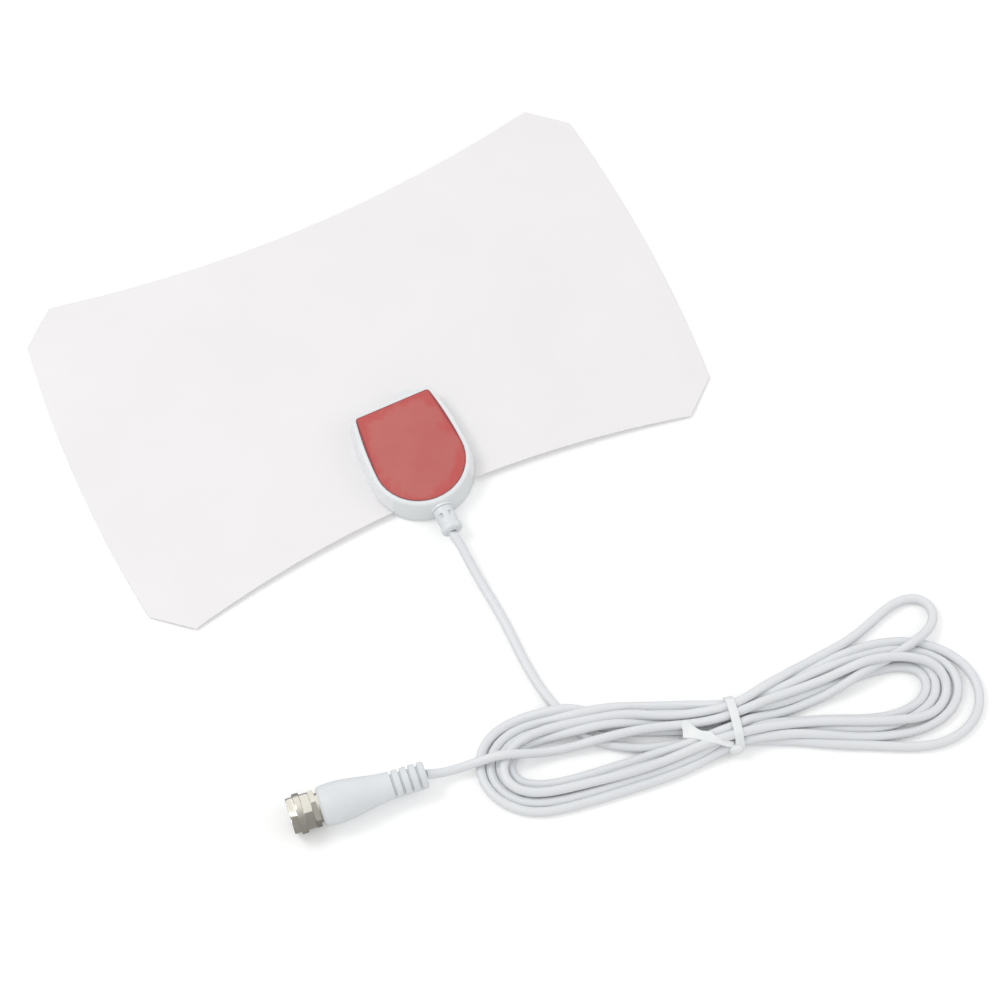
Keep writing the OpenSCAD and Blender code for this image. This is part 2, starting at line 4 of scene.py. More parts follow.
import json
import logging
import math
from dataclasses import dataclass, field
from enum import Enum
from typing import Sequence

import bpy
import numpy as np
from mathutils import Matrix, Vector

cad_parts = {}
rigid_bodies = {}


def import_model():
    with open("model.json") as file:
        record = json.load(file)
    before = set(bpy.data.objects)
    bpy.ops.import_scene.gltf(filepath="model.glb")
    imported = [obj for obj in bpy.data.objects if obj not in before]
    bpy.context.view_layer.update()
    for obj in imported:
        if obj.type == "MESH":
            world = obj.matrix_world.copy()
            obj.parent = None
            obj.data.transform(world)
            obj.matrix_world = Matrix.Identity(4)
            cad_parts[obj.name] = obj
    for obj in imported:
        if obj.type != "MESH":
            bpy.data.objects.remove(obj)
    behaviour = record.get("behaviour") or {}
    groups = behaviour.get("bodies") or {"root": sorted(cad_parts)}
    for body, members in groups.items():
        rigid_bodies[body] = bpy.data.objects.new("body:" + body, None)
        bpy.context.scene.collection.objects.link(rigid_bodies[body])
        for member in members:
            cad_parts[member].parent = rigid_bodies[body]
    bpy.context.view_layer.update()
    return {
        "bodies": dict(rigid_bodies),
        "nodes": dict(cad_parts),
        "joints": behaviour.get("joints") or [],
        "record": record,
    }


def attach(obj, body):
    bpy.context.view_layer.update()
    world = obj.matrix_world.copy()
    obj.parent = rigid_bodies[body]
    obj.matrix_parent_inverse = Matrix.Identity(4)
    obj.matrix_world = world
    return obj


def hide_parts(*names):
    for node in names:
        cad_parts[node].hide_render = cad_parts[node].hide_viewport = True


log = logging.getLogger("antenna")

MM = 0.001
Point = tuple[float, float, float]
Colour = tuple[float, float, float]


class Slot(Enum):
    """Finish slots that the pieces and the frame's nodes share."""

    FILM = "film_white"
    SHELL = "shell_white"
    FOAM = "foam_white"
    LINER = "liner_red"
    RELIEF = "relief_white"
    BOARD = "board_green"
    TIN = "tin"
    FERRITE = "ferrite"
    WINDING = "copper_wire"
    CHIP = "chip_tan"
    CORD = "cord_white"
    CORE = "core_ivory"
    TIE = "tie_white"
    NICKEL = "nickel"
    PIN = "pin_copper"


def srgb(red: float, green: float, blue: float) -> Colour:
    """Turns a colour seen on a screen, 0 to 255, into the linear values that shaders take.

    Args:
        red: Red, 0 to 255.
        green: Green, 0 to 255.
        blue: Blue, 0 to 255.

    Returns:
        The three linear values, 0 to 1.
    """

    def line(value: float) -> float:
        """Linear value of one channel."""
        part = value / 255
        return part / 12.92 if part <= 0.04045 else ((part + 0.055) / 1.055) ** 2.4

    return line(red), line(green), line(blue)


# Shared steps


def pick(*things: bpy.types.Object) -> None:
    """Selects these objects and nothing else, the first of them active."""
    bpy.ops.object.select_all(action="DESELECT")
    for thing in things:
        thing.select_set(True)
    bpy.context.view_layer.objects.active = things[0]


def work(thing: bpy.types.Object, kind: str, **settings: object) -> None:
    """Gives an object a modifier and applies it.

    Args:
        thing: The object.
        kind: The modifier's Blender type.
        settings: Properties of the modifier.
    """
    pick(thing)
    bpy.ops.object.modifier_add(type=kind)
    modifier = thing.modifiers[-1]
    for name, value in settings.items():
        setattr(modifier, name, value)
    bpy.ops.object.modifier_apply(modifier=modifier.name)


def put(thing: bpy.types.Object, turn: Sequence[float], place: Sequence[float] | None = None) -> None:
    """Turns and places an object and writes that into its mesh.

    Args:
        thing: The object.
        turn: Turn round each axis, in radians.
        place: Where it goes, or None where it stays.
    """
    thing.rotation_euler = turn
    if place is not None:
        thing.location = place
    pick(thing)
    bpy.ops.object.transform_apply(location=True, rotation=True, scale=True)


def face_outwards(thing: bpy.types.Object) -> None:
    """Points the faces of an object's closed shells outwards.

    Args:
        thing: The object.
    """
    pick(thing)
    bpy.ops.object.mode_set(mode="EDIT")
    bpy.ops.mesh.select_all(action="SELECT")
    bpy.ops.mesh.normals_make_consistent(inside=False)
    bpy.ops.object.mode_set(mode="OBJECT")


def mesh_object(name: str, spots: Sequence, faces: Sequence) -> bpy.types.Object:
    """Puts points and faces in the scene as one object.

    Args:
        name: Name of the new object.
        spots: Its points, in metres.
        faces: The points of each face, by number.

    Returns:
        The object.
    """
    mesh = bpy.data.meshes.new(name)
    mesh.from_pydata(spots, [], faces)
    thing = bpy.data.objects.new(name, mesh)
    bpy.context.scene.collection.objects.link(thing)
    return thing


def way_along(line: np.ndarray) -> np.ndarray:
    """Distance along a line from its start to each of its points."""
    return np.concatenate([[0], np.cumsum(np.linalg.norm(np.diff(line, axis=0), axis=1))])


# Shader graphs


class Graph:
    """Short way to add and join the nodes of one node tree."""

    def __init__(self, tree: bpy.types.NodeTree) -> None:
        """Keeps the tree that is being filled."""
        self.tree = tree

    def add(self, kind: str, inputs: dict | None = None, **settings: object) -> bpy.types.Node:
        """Adds one node.

        Args:
            kind: The node's Blender type.
            inputs: Values or sockets for its inputs, by name or number.
            settings: Properties of the node itself.

        Returns:
            The new node.
        """
        node = self.tree.nodes.new(kind)
        for name, value in settings.items():
            setattr(node, name, value)
        for key, value in (inputs or {}).items():
            if isinstance(value, bpy.types.NodeSocket):
                self.tree.links.new(value, node.inputs[key])
            else:
                node.inputs[key].default_value = value
        return node

    def math(self, operation: str, first: object, second: object = 0.0) -> bpy.types.NodeSocket:
        """Result of one arithmetic step on sockets or plain numbers."""
        return self.add("ShaderNodeMath", {0: first, 1: second}, operation=operation).outputs[0]

    def stretch(self, value: object, low: float, high: float, to_low: float,
                to_high: float) -> bpy.types.NodeSocket:
        """Maps a range of values on another, clamped."""
        return self.add("ShaderNodeMapRange", {
            "Value": value, "From Min": low, "From Max": high, "To Min": to_low, "To Max": to_high,
        }).outputs[0]

    def here(self) -> bpy.types.NodeSocket:
        """Place of the shaded point on its own object."""
        return self.add("ShaderNodeTexCoord").outputs["Object"]

    def slanted(self, turn: float, scale: Point) -> bpy.types.NodeSocket:
        """That place, turned round the vertical and then scaled along each axis."""
        return self.add("ShaderNodeMapping", {"Vector": self.here(), "Rotation": (0.0, 0.0, turn),
                                              "Scale": scale}).outputs[0]

    def noise(self, place: bpy.types.NodeSocket, scale: object, detail: float,
              **others: float) -> bpy.types.NodeSocket:
        """Soft noise.

        Args:
            place: Where it is read.
            scale: How fine it is.
            detail: How many finer layers it has.
            others: Other inputs of the noise, by name.

        Returns:
            The noise, about 0 to 1.
        """
        return self.add("ShaderNodeTexNoise", {"Vector": place, "Scale": scale, "Detail": detail,
                                               **others}).outputs[0]

    def blend(self, mask: bpy.types.NodeSocket, first: object, second: object) -> bpy.types.NodeSocket:
        """Colour that goes from the first to the second as the mask goes from 0 to 1."""
        mix = self.add("ShaderNodeMix", {"Factor": mask, 6: first, 7: second}, data_type="RGBA")
        return mix.outputs[2]


class Effect(Enum):
    """Shader node groups that several finishes use."""

    GRAIN = "fine_grain"
    MOTTLE = "tone_drift"
    HANDLING = "handling_marks"


class Effects:
    """Builds each shared effect once and places it in the materials."""

    def __init__(self) -> None:
        """Builds all the groups."""
        self.groups: dict[Effect, bpy.types.NodeTree] = {
            Effect.GRAIN: self._grain(),
            Effect.MOTTLE: self._mottle(),
            Effect.HANDLING: self._handling(),
        }

    @staticmethod
    def _group(effect: Effect, inputs: Sequence[tuple], outputs: Sequence[tuple]) -> tuple:
        """Starts a group with its sockets.

        Args:
            effect: Which effect the group is for.
            inputs: Name, socket type and default value of each input.
            outputs: Name and socket type of each output.

        Returns:
            The tree, its graph, and its input and output nodes.
        """
        tree = bpy.data.node_groups.new(effect.value, "ShaderNodeTree")
        for name, kind, default in inputs:
            tree.interface.new_socket(name, in_out="INPUT", socket_type=kind).default_value = default
        for name, kind in outputs:
            tree.interface.new_socket(name, in_out="OUTPUT", socket_type=kind)
        return tree, Graph(tree), tree.nodes.new("NodeGroupInput"), tree.nodes.new("NodeGroupOutput")

    def _grain(self) -> bpy.types.NodeTree:
        """Spark-eroded grain of a mould: fine noise over a coarser one.

        Returns:
            The group.
        """
        tree, graph, inlet, outlet = self._group(
            Effect.GRAIN,
            [("Scale", "NodeSocketFloat", 2400.0), ("Coarse", "NodeSocketFloat", 0.3)],
            [("Height", "NodeSocketFloat")],
        )
        place, scale = graph.here(), inlet.outputs["Scale"]
        fine = graph.noise(place, scale, 2.0, Roughness=0.6)
        wide = graph.noise(place, graph.math("MULTIPLY", scale, 0.18), 3.0)
        part = graph.math("MULTIPLY", wide, inlet.outputs["Coarse"])
        tree.links.new(graph.math("ADD", fine, part), outlet.inputs["Height"])
        return tree

    def _mottle(self) -> bpy.types.NodeTree:
        """Slow drift between two near tones of one colour.

        Returns:
            The group.
        """
        tree, graph, inlet, outlet = self._group(
            Effect.MOTTLE,
            [("First", "NodeSocketColor", (0.8, 0.8, 0.8, 1)),
             ("Second", "NodeSocketColor", (0.75, 0.75, 0.75, 1)), ("Scale", "NodeSocketFloat", 60.0)],
            [("Color", "NodeSocketColor")],
        )
        noise = graph.noise(graph.here(), inlet.outputs["Scale"], 4.0, Roughness=0.55)
        mask = graph.stretch(noise, 0.3, 0.7, 0.0, 1.0)
        tone = graph.blend(mask, inlet.outputs["First"], inlet.outputs["Second"])
        tree.links.new(tone, outlet.inputs["Color"])
        return tree

    def _handling(self) -> bpy.types.NodeTree:
        """Roughness of a handled surface: soft smears and a few fine rubbed lines.

        Returns:
            The group.
        """
        tree, graph, inlet, outlet = self._group(
            Effect.HANDLING,
            [("Roughness", "NodeSocketFloat", 0.4), ("Amount", "NodeSocketFloat", 0.08),
             ("Scale", "NodeSocketFloat", 90.0)],
            [("Roughness", "NodeSocketFloat")],
        )
        scale = inlet.outputs["Scale"]
        smear = graph.noise(graph.here(), scale, 5.0, Distortion=0.8)
        rubbed = graph.noise(graph.slanted(0.6, (0.12, 1.0, 1.0)), graph.math("MULTIPLY", scale, 18.0), 1.0)
        lines = graph.stretch(rubbed, 0.62, 0.72, 0.0, 0.6)
        both = graph.math("ADD", graph.stretch(smear, 0.35, 0.7, -0.5, 0.7), lines)
        change = graph.math("MULTIPLY", both, inlet.outputs["Amount"])
        rough = graph.math("ADD", inlet.outputs["Roughness"], change)
        tree.links.new(graph.math("MAXIMUM", rough, 0.04), outlet.inputs["Roughness"])
        return tree

    def place(self, graph: Graph, effect: Effect, inputs: dict) -> bpy.types.Node:
        """Puts an effect in a material, with values for the group's inputs."""
        return graph.add("ShaderNodeGroup", inputs, node_tree=self.groups[effect])


# Finishes


@dataclass(frozen=True)
class Finish:
    """One material: its tones, its gloss, its grain and what else its shader needs.

    Attributes:
        slot: The finish slot that it fills.
        tones: The two near tones that it drifts between, as screen colours.
        roughness: Roughness where nothing has rubbed it.
        marks: How much handling changes the roughness.
        grain: Scale of the surface grain.
        depth: Depth of the grain, in metres.
        drift: Scale of the drift in tone.
        constants: Values that are the same all over, set on the shader's own sockets.
    """

    slot: Slot
    tones: tuple[Colour, Colour]
    roughness: float = 0.4
    marks: float = 0.06
    grain: float = 2400.0
    depth: float = 0.00001
    drift: float = 60.0
    constants: dict[str, object] = field(default_factory=dict)

    def base(self, graph: Graph, effects: Effects) -> bpy.types.NodeSocket:
        """Base colour of the finish.

        Args:
            graph: The material's graph.
            effects: The shared effects.

        Returns:
            The colour.
        """
        first, second = ((*srgb(*tone), 1) for tone in self.tones)
        node = effects.place(graph, Effect.MOTTLE, {"First": first, "Second": second, "Scale": self.drift})
        return node.outputs["Color"]

    def height(self, graph: Graph, effects: Effects) -> bpy.types.NodeSocket:
        """Relief of the finish, from 0 to about 1."""
        return effects.place(graph, Effect.GRAIN, {"Scale": self.grain}).outputs["Height"]

    def build(self, effects: Effects) -> bpy.types.Material:
        """Makes the material.

        Args:
            effects: The shared effects.

        Returns:
            The new material.
        """
        material = bpy.data.materials.new(self.slot.value + "_finish")
        material.use_nodes = True
        graph = Graph(material.node_tree)
        shader = material.node_tree.nodes["Principled BSDF"]
        for name, value in self.constants.items():
            shader.inputs[name].default_value = value
        link = material.node_tree.links.new
        link(self.base(graph, effects), shader.inputs["Base Color"])
        rough = effects.place(graph, Effect.HANDLING, {"Roughness": self.roughness, "Amount": self.marks})
        link(rough.outputs["Roughness"], shader.inputs["Roughness"])
        bump = graph.add("ShaderNodeBump", {"Height": self.height(graph, effects), "Strength": 1.0,
                                            "Distance": self.depth})
        link(bump.outputs["Normal"], shader.inputs["Normal"])
        return material


@dataclass(frozen=True)
class LinerFinish(Finish):
    """Thin film that lies on foam: its pale tones are a painted sheen, which gives way to a deeper red
    towards its edge, where a thin painted shade line runs.

    Attributes:
        edge_and_shade_line_tones: Colour near the edge, where the painted sheen fades, and colour of the
            thin painted shade line along the edge, as screen colours.
        edge_width: How far the deeper red, where the painted sheen fades, reaches in, and where the thin
            painted shade line begins and ends, in metres.
        edge_wander: How far the limit of the painted sheen wanders out and in along the edge, in metres.
        round_y: Where the round end's middle lies along the housing, in metres.
        round_radius: Radius of the round end.
        taper: How much the half width shrinks for each metre away from the round end.
        flat_y: Where the flat end lies.
    """

    edge_and_shade_line_tones: tuple[Colour, Colour] = ((190, 62, 60), (136, 30, 44))
    edge_width: tuple[float, float, float] = (0.0026, 0.0002, 0.0006)
    edge_wander: tuple[float, float] = (-0.0034, 0.0022)
    round_y: float = -0.0451
    round_radius: float = 0.0151
    taper: float = 0.094
    flat_y: float = -0.0227

    def edge_distance(self, graph: Graph) -> bpy.types.NodeSocket:
        """Distance of a point from the liner's edge.

        Args:
            graph: The material's graph.

        Returns:
            The distance, in metres.
        """
        parts = graph.add("ShaderNodeSeparateXYZ", {0: graph.here()})
        x, y = parts.outputs[0], parts.outputs[1]
        up = graph.math("SUBTRACT", y, self.round_y)
        below = graph.math("MINIMUM", up, 0.0)
        narrower = graph.math("MULTIPLY", graph.math("MAXIMUM", up, 0.0), self.taper)
        limit = graph.math("SUBTRACT", self.round_radius, narrower)
        squares = graph.math("ADD", graph.math("MULTIPLY", x, x), graph.math("MULTIPLY", below, below))
        side = graph.math("SUBTRACT", limit, graph.math("SQRT", squares))
        return graph.math("MINIMUM", side, graph.math("SUBTRACT", self.flat_y, y))

    def base(self, graph: Graph, effects: Effects) -> bpy.types.NodeSocket:
        """Pale middle that is a painted sheen, deeper edge where that sheen fades, with drifts from it, and
        the thin painted shade line at the edge.

        Args:
            graph: The material's graph.
            effects: The shared effects.

        Returns:
            The colour.
        """
        colour = super().base(graph, effects)
        reach, start, end = self.edge_width
        drift = graph.noise(graph.here(), 130.0, 3.0, Distortion=0.6)
        edge = self.edge_distance(graph)
        wander = graph.stretch(drift, 0.3, 0.7, *self.edge_wander)
        # Painted sheen: the pale middle fades to the deeper red towards the edge.
        sheen_fade_mask = graph.stretch(graph.math("ADD", edge, wander), 0.0, reach, 0.68, 0.0)
        # Painted shade: a thin dark line along the liner's edge.
        line = graph.stretch(edge, start, end, 0.75, 0.0)
        for mask, tone in zip((sheen_fade_mask, line), self.edge_and_shade_line_tones):
            colour = graph.blend(mask, colour, (*srgb(*tone), 1))
        return colour

    def height(self, graph: Graph, effects: Effects) -> bpy.types.NodeSocket:
        """A few long soft wrinkles, with the fine grain on them."""
        folds = graph.noise(graph.slanted(0.5, (0.4, 1.0, 1.0)), 110.0, 1.5, Distortion=0.5)
        return graph.math("ADD", folds, graph.math("MULTIPLY", super().height(graph, effects), 0.05))


@dataclass(frozen=True)
class TurnedFinish(Finish):
    """Plated metal with the fine rings that a lathe leaves round the plug's axis.

    Attributes:
        axis_turn: Turn that brings the plug's axis on to the rings' own, in radians.
        pitch: Scale of the rings.
    """

    axis_turn: float = 0.0
    pitch: float = 9000.0

    def height(self, graph: Graph, effects: Effects) -> bpy.types.NodeSocket:
        """Rings across the axis, broken up by the grain.

        Args:
            graph: The material's graph.
            effects: The shared effects.

        Returns:
            The relief.
        """
        rings = graph.noise(graph.slanted(self.axis_turn, (1.0, 0.02, 0.02)), self.pitch, 1.0)
        grain = graph.math("MULTIPLY", super().height(graph, effects), 0.3)
        return graph.math("ADD", graph.math("MULTIPLY", rings, 0.7), grain)


@dataclass(frozen=True)
class CellFinish(Finish):
    """Open-celled foam: small round pits side by side."""

    def height(self, graph: Graph, effects: Effects) -> bpy.types.NodeSocket:
        """Pits of the foam's cells."""
        cells = graph.add("ShaderNodeTexVoronoi", {"Vector": graph.here(), "Scale": self.grain})
        return graph.stretch(cells.outputs["Distance"], 0.0, 0.7, 0.0, 1.0)


FINISHES: tuple[Finish, ...] = (
    Finish(Slot.FILM, ((243, 241, 242), (240, 238, 239)), 0.5, 0.05, 1500, 0.000012, 25,
           {"Specular IOR Level": 0.35}),
    Finish(Slot.SHELL, ((234, 237, 238), (230, 233, 235)), 0.3, 0.06, 2600, 0.00001, 90),
    CellFinish(Slot.FOAM, ((226, 226, 222), (214, 214, 209)), 0.8, 0.05, 2600, 0.0001, 140,
               {"Specular IOR Level": 0.2}),
    # The liner's pale tones hold a painted sheen of the white surroundings over its red.
    LinerFinish(Slot.LINER, ((192, 98, 92), (186, 88, 83)), 0.34, 0.1, 1800, 0.00022, 70,
                {"Coat Weight": 0.3, "Coat Roughness": 0.2}),
    Finish(Slot.RELIEF, ((228, 232, 234), (222, 226, 228)), 0.42, 0.06, 2000, 0.000012, 120),
    Finish(Slot.BOARD, ((28, 92, 52), (22, 76, 44)), 0.3, 0.08, 1800, 0.00001, 260, {"Coat Weight": 0.4}),
    Finish(Slot.TIN, ((196, 198, 200), (176, 178, 182)), 0.32, 0.12, 2200, 0.000015, 300, {"Metallic": 1.0}),
    Finish(Slot.FERRITE, ((58, 58, 60), (44, 44, 46)), 0.62, 0.06, 1700, 0.00004, 420),
    Finish(Slot.WINDING, ((176, 96, 54), (150, 74, 40)), 0.3, 0.08, 3000, 0.00001, 500,
           {"Metallic": 0.8, "Coat Weight": 0.5}),
    Finish(Slot.CHIP, ((188, 158, 118), (170, 140, 104)), 0.5, 0.05, 2400, 0.00001, 600),
    Finish(Slot.CORD, ((231, 233, 235), (226, 228, 231)), 0.36, 0.06, 1600, 0.000012, 45,
           {"Subsurface Weight": 0.08, "Subsurface Radius": (0.001, 0.001, 0.001), "Subsurface Scale": 0.5}),
    Finish(Slot.CORE, ((232, 228, 212), (226, 221, 202)), 0.4, 0.05, 2200, 0.00001, 200),
    Finish(Slot.TIE, ((241, 243, 243), (236, 239, 239)), 0.36, 0.06, 2000, 0.00001, 150,
           {"Subsurface Weight": 0.15, "Subsurface Radius": (0.001, 0.001, 0.001), "Subsurface Scale": 0.6}),
    TurnedFinish(Slot.NICKEL, ((212, 209, 199), (203, 199, 188)), 0.14, 0.05, 2600, 0.0000015, 160,
                 {"Metallic": 1.0}, axis_turn=math.radians(7)),
    Finish(Slot.PIN, ((206, 142, 96), (192, 126, 82)), 0.25, 0.08, 2600, 0.000008, 400, {"Metallic": 1.0}),
)


class Wardrobe:
    """Holds the finished materials and puts them on pieces and on the frame's nodes."""

    def __init__(self, effects: Effects) -> None:
        """Makes every material once."""
        self.materials = {finish.slot: finish.build(effects) for finish in FINISHES}

    def dress(self, piece: bpy.types.Object, slot: Slot) -> None:
        """Gives a new piece its one finish.

        Args:
            piece: The piece.
            slot: The finish's slot.
        """
        piece.data.materials.clear()
        piece.data.materials.append(self.materials[slot])

    def dress_frame(self, frame: dict) -> None:
        """Puts the finishes on the nodes that came with the frame.

        Args:
            frame: The loaded frame.
        """
        by_name = {slot.value: material for slot, material in self.materials.items()}
        for name, node in frame["nodes"].items():
            for place in node.material_slots:
                key = place.material.name.split(".")[0] if place.material else ""
                if key not in by_name:
                    log.warning("%s has an unknown finish %s", name, key)
                    continue
                place.link = "OBJECT"
                place.material = by_name[key]
        log.info("%d nodes of the frame are dressed", len(frame["nodes"]))


# Camera, floor and light


@dataclass(frozen=True)
class Lamp:
    """A round soft lamp.

    Attributes:
        name: Its name.
        place: Where it hangs, in metres.
        size: Its diameter, in metres.
        power: Its power, in watts.
    """

    name: str
    place: Point
    size: float
    power: float


@dataclass
class Studio:
    """Where the picture is taken from, what the antenna lies on and what lights it.

    Attributes:
        azimuth: Turn of the line of sight round the vertical, in degrees.
        elevation: Height of the line of sight above the floor, in degrees.
        roll: Turn of the picture in its own plane, in degrees.
        distance: From the lens to the point that it looks at, in metres.
        aim: The point on the floor that the lens looks at, in metres.
        lens: Focal length, in millimetres.
        sensor: Width of the sensor, in millimetres.
        far_limit: How far the lens sees, in metres.
        floor_size: Width of the floor, in metres.
        floor_drop: How far the floor lies below the antenna, in metres.
        floor_and_reflected_shade_tone: Grey of the floor in plain light, and the darker grey that metal
            mirrors, a painted shade seen only in reflections.
        floor_lift: Glow of the floor that only the lens sees.
        sky_strength: Strength of the sky's light.
        sky_sides: Where the mirrored sky darkens and lightens from front to back, and to what strengths.
        lamps: The lamps.
    """

    azimuth: float = -19.62
    elevation: float = 64.26
    roll: float = -5.49
    distance: float = 1.1164
    aim: Point = (0.01908, -0.06521, 0.0)
    lens: float = 123.6
    sensor: float = 36.0
    far_limit: float = 20.0
    floor_size: float = 6.0
    floor_drop: float = 0.0002
    floor_and_reflected_shade_tone: tuple[float, float] = (0.96, 0.42)
    floor_lift: float = 0.14
    sky_strength: float = 0.78
    sky_sides: tuple[float, float, float, float] = (-0.8, 0.5, 0.46, 1.3)
    lamps: Sequence[Lamp] = (
        Lamp("key_lamp", (-0.55, 0.35, 1.1), 0.5, 3.4),
        Lamp("side_lamp", (0.8, -0.5, 0.7), 0.6, 1.0),
    )

    def place_camera(self) -> None:
        """Adds the camera and makes it the scene's own."""
        turn, rise, roll = (math.radians(v) for v in (self.azimuth, self.elevation, self.roll))
        back = Vector((math.sin(turn) * math.cos(rise), -math.cos(turn) * math.cos(rise), math.sin(rise)))
        right = (-back).cross(Vector((0, 0, 1))).normalized()
        up = back.cross(right)
        side = math.cos(roll) * right + math.sin(roll) * up
        top = math.cos(roll) * up - math.sin(roll) * right
        bpy.ops.object.camera_add(location=Vector(self.aim) + back * self.distance)
        camera = bpy.context.object
        camera.name = "camera"
        camera.rotation_euler = Matrix((side, top, back)).transposed().to_euler()
        camera.data.sensor_width = self.sensor
        camera.data.lens = self.lens
        camera.data.clip_end = self.far_limit
        bpy.context.scene.camera = camera

    def lay_floor(self) -> None:
        """Adds a white floor that still shows the soft shadow of what lies on it."""
        place = (self.aim[0], self.aim[1], -self.floor_drop)
        bpy.ops.mesh.primitive_plane_add(size=self.floor_size, location=place)
        floor = bpy.context.object
        floor.name = "floor"
        material = bpy.data.materials.new("floor_paper")
        material.use_nodes = True
        tree = material.node_tree
        graph = Graph(tree)
        shader = tree.nodes["Principled BSDF"]
        shader.inputs["Roughness"].default_value = 0.9
        shader.inputs["Specular IOR Level"].default_value = 0.0
        path = graph.add("ShaderNodeLightPath")
        lift = graph.math("MULTIPLY", path.outputs["Is Camera Ray"], self.floor_lift)
        # The floor is darker only in reflections: painted shade on the metal's down-facing facets.
        shade = graph.stretch(path.outputs["Is Glossy Ray"], 0.0, 1.0, *self.floor_and_reflected_shade_tone)
        tone = graph.add("ShaderNodeCombineColor", {0: shade, 1: shade, 2: shade})
        tree.links.new(tone.outputs[0], shader.inputs["Base Color"])
        shader.inputs["Emission Color"].default_value = (1, 1, 1, 1)
        tree.links.new(lift, shader.inputs["Emission Strength"])
        floor.data.materials.append(material)

    def light(self) -> None:
        """Sets a pale sky and the soft lamps."""
        world = bpy.context.scene.world or bpy.data.worlds.new("sky")
        bpy.context.scene.world = world
        world.use_nodes = True
        tree = world.node_tree
        tree.nodes.clear()
        graph = Graph(tree)
        path = graph.add("ShaderNodeLightPath")
        seen = graph.math("MAXIMUM", path.outputs["Is Camera Ray"], path.outputs["Is Transmission Ray"])
        plain = graph.stretch(seen, 0.0, 1.0, self.sky_strength, 1.0)
        way = graph.add("ShaderNodeSeparateXYZ", {0: graph.add("ShaderNodeTexCoord").outputs["Generated"]})
        sides = graph.stretch(way.outputs[1], *self.sky_sides)
        strength = graph.add("ShaderNodeMix", {"Factor": path.outputs["Is Glossy Ray"], 2: plain, 3: sides})
        sky = graph.add("ShaderNodeBackground", {"Color": (1.0, 1.0, 1.0, 1.0),
                                                 "Strength": strength.outputs[0]})
        graph.add("ShaderNodeOutputWorld", {"Surface": sky.outputs[0]})
        for lamp in self.lamps:
            bpy.ops.object.light_add(type="AREA", location=lamp.place)
            light = bpy.context.object
            light.name = lamp.name
            light.data.shape = "DISK"
            light.data.size = lamp.size
            light.data.energy = lamp.power
            towards = Vector(self.aim) - Vector(lamp.place)
            light.rotation_euler = towards.to_track_quat("-Z", "Y").to_euler()

    def set_up(self) -> None:
        """Readies the picture: camera, floor, light and plain view settings."""
        self.place_camera()
        self.lay_floor()
        self.light()
        bpy.context.scene.view_settings.view_transform = "Standard"
        log.info("camera, floor and lamps are in place")


# Cord


@dataclass(frozen=True)
class Turn:
    """One turn of the hank, from the tie out to the right, back through it, and out to the left.

    Attributes:
        near: Place in the tie on the near side: across it and above the floor, in millimetres.
        right: Points of the right bend, in millimetres.
        far: Place in the tie on the far side.
        left: Points of the left bend, none for the last turn.
        lift: Height at which the turn is laid down before it settles, in millimetres.
    """

    near: tuple[float, float]
    right: Sequence[tuple[float, float]]
    far: tuple[float, float]
    left: Sequence[tuple[float, float]]
    lift: float


@dataclass(frozen=True)
class Settling:
    """How the laid cord comes to lie on the floor and on its own strands.

    Attributes:
        rounds: How many small steps it takes.
        calm_from: Part of the rounds after which it only comes to rest.
        sink: How far a round lowers it, in millimetres, before and after that.
        hold: How much of its drift from the route a round takes back.
        bend_passes: Passes of stiffness in a round.
        stiffness: Weight of each pass.
        contact_passes: Passes that keep the strands apart, before and after that.
        push: Part of an overlap that a pass takes out at each strand.
        pull: Part of a stretch that a pass takes out at each end.
        search_every: Rounds between two searches for near strands.
        near: Distance within which strands count as near, in cord diameters.
        apart: Length of cord between points that can touch each other, in cord diameters.
    """

    rounds: int = 700
    calm_from: float = 0.8
    sink: tuple[float, float] = (0.05, 0.02)
    hold: float = 0.02
    bend_passes: int = 8
    stiffness: float = 0.06
    contact_passes: tuple[int, int] = (2, 4)
    push: float = 0.35
    pull: float = 0.25
    search_every: int = 6
    near: float = 1.8
    apart: float = 2.2


